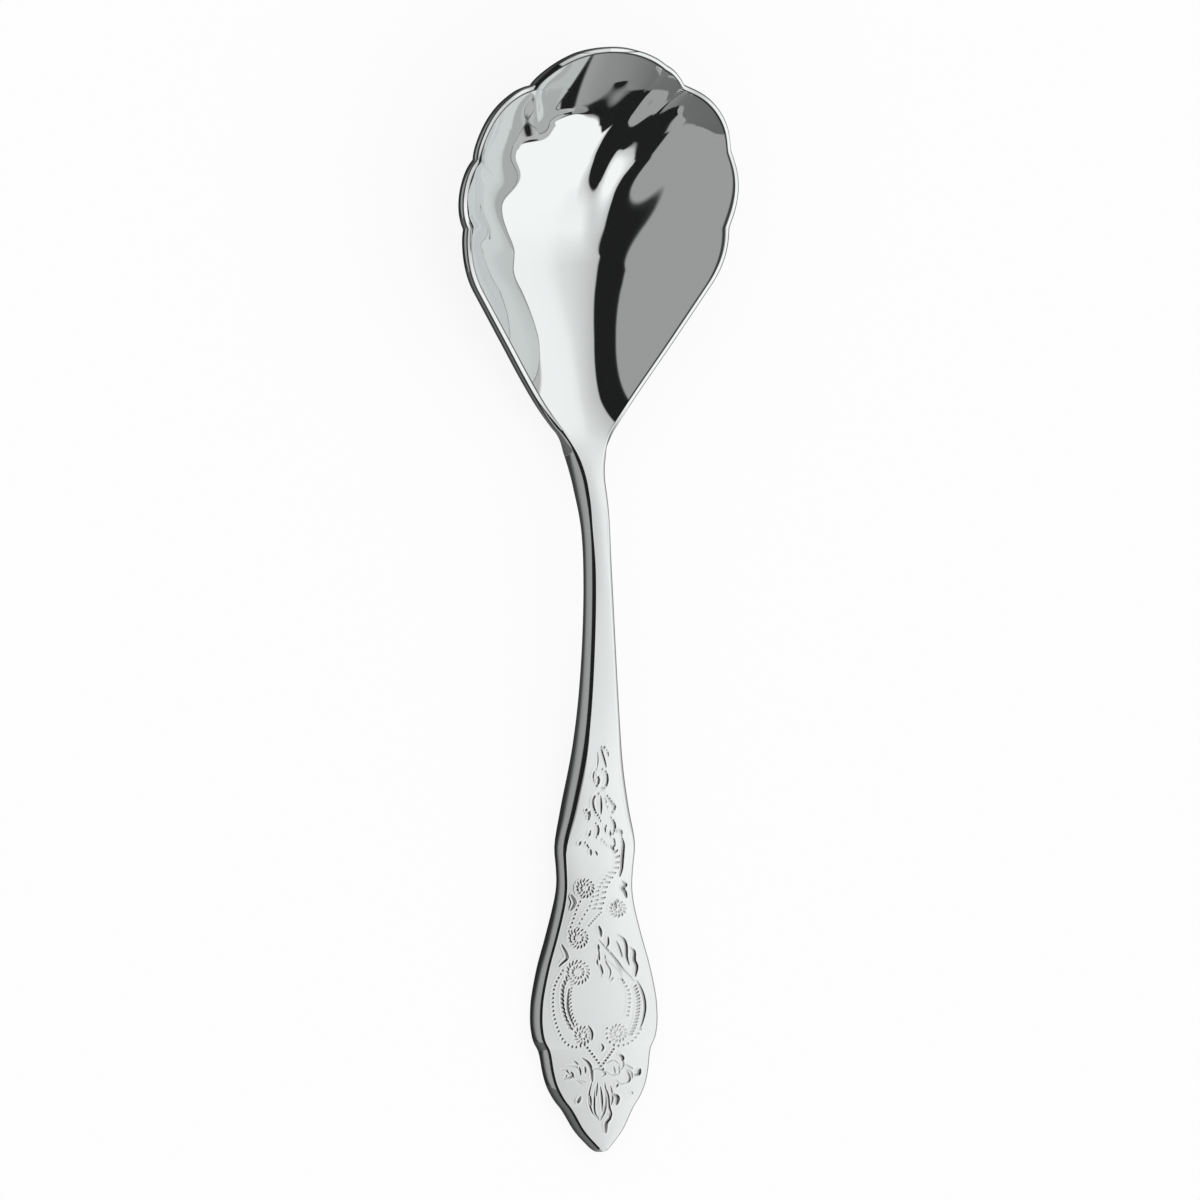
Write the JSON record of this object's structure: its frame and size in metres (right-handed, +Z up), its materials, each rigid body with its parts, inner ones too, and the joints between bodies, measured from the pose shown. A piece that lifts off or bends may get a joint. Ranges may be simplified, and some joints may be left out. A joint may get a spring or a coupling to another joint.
{
  "type": "sugar spoon",
  "caption": "Small serving spoon with a scalloped, fluted shell bowl, an arched shank and a flat lobed handle struck with scroll ornament.",
  "frame": {"origin": "on the table, under the middle of the spoon's bounding box", "axes": "+Y from the handle's end to the bowl's tip, +X to the right as seen from above with the tip ahead, +Z up out of the bowl"},
  "size_m": [0.0404, 0.142, 0.0158],
  "materials": {
    "bowl": "polished plated metal with fine wear lines",
    "shank": "polished plated metal",
    "handle": "polished plated metal, struck ornament in low relief with darker recesses"
  },
  "bodies": {
    "root": {"bowl": "bowl", "shank": "shank", "handle": "handle"}
  },
  "joints": []
}
